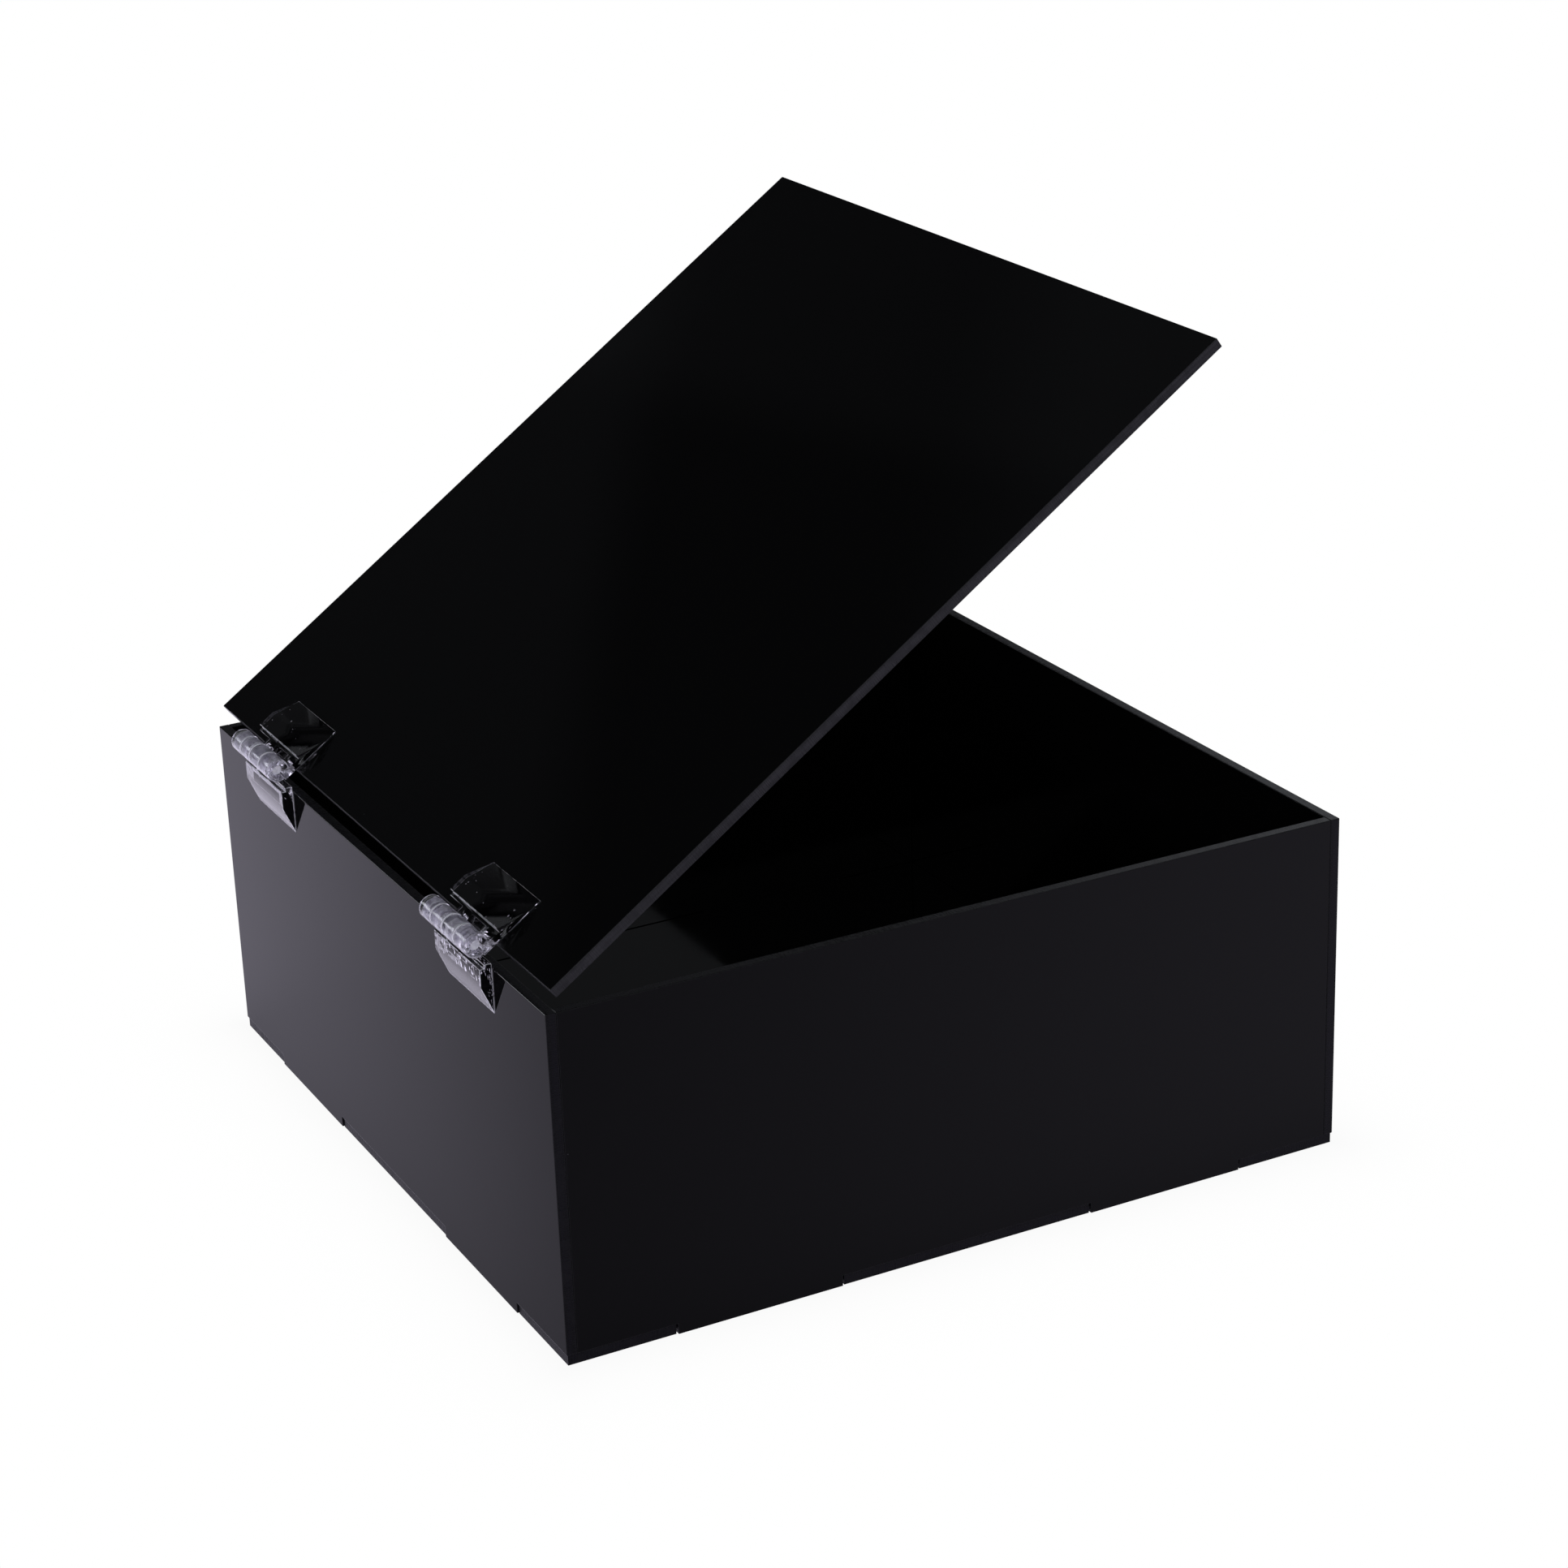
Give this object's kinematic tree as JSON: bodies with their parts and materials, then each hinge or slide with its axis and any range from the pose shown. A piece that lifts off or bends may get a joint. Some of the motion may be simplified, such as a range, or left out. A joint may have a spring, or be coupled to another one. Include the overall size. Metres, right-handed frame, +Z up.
{
  "type": "hinged acrylic box",
  "caption": "Square shallow box of glossy black acrylic sheet with a flat lid on clear glued-on hinges, modelled standing part open.",
  "frame": {"origin": "on the resting surface, under the middle of the box's footprint", "axes": "+Z up; +Y towards the hinged back wall, so the front is at -Y; +X to the right seen from the front, parallel to the hinge pins"},
  "size_m": [0.24, 0.2473, 0.242],
  "materials": {
    "black_acrylic": "polished black cast acrylic sheet with laser-cut edges",
    "clear_acrylic": "clear moulded acrylic, glossy",
    "clear_rod": "clear rod with sawn, slightly frosted ends",
    "adhesive": "clear set adhesive with trapped air bubbles"
  },
  "bodies": {
    "box": {"floor_panel": "black_acrylic", "front_wall": "black_acrylic", "back_wall": "black_acrylic", "left_wall": "black_acrylic", "right_wall": "black_acrylic", "left_hinge_wall_leaf": "clear_acrylic", "left_hinge_wall_film": "adhesive", "left_hinge_pin": "clear_rod", "right_hinge_wall_leaf": "clear_acrylic", "right_hinge_wall_film": "adhesive", "right_hinge_pin": "clear_rod"},
    "lid": {"lid_panel": "black_acrylic", "left_hinge_lid_leaf": "clear_acrylic", "left_hinge_lid_film": "adhesive", "right_hinge_lid_leaf": "clear_acrylic", "right_hinge_lid_film": "adhesive"}
  },
  "joints": [
    {"name": "lid_hinge", "type": "hinge", "parent": "box", "child": "lid", "pos_m": [0, 0.12388, 0.10713], "axis": [-1, 0, 0], "range_deg": [-34.7, 172.3]}
  ]
}
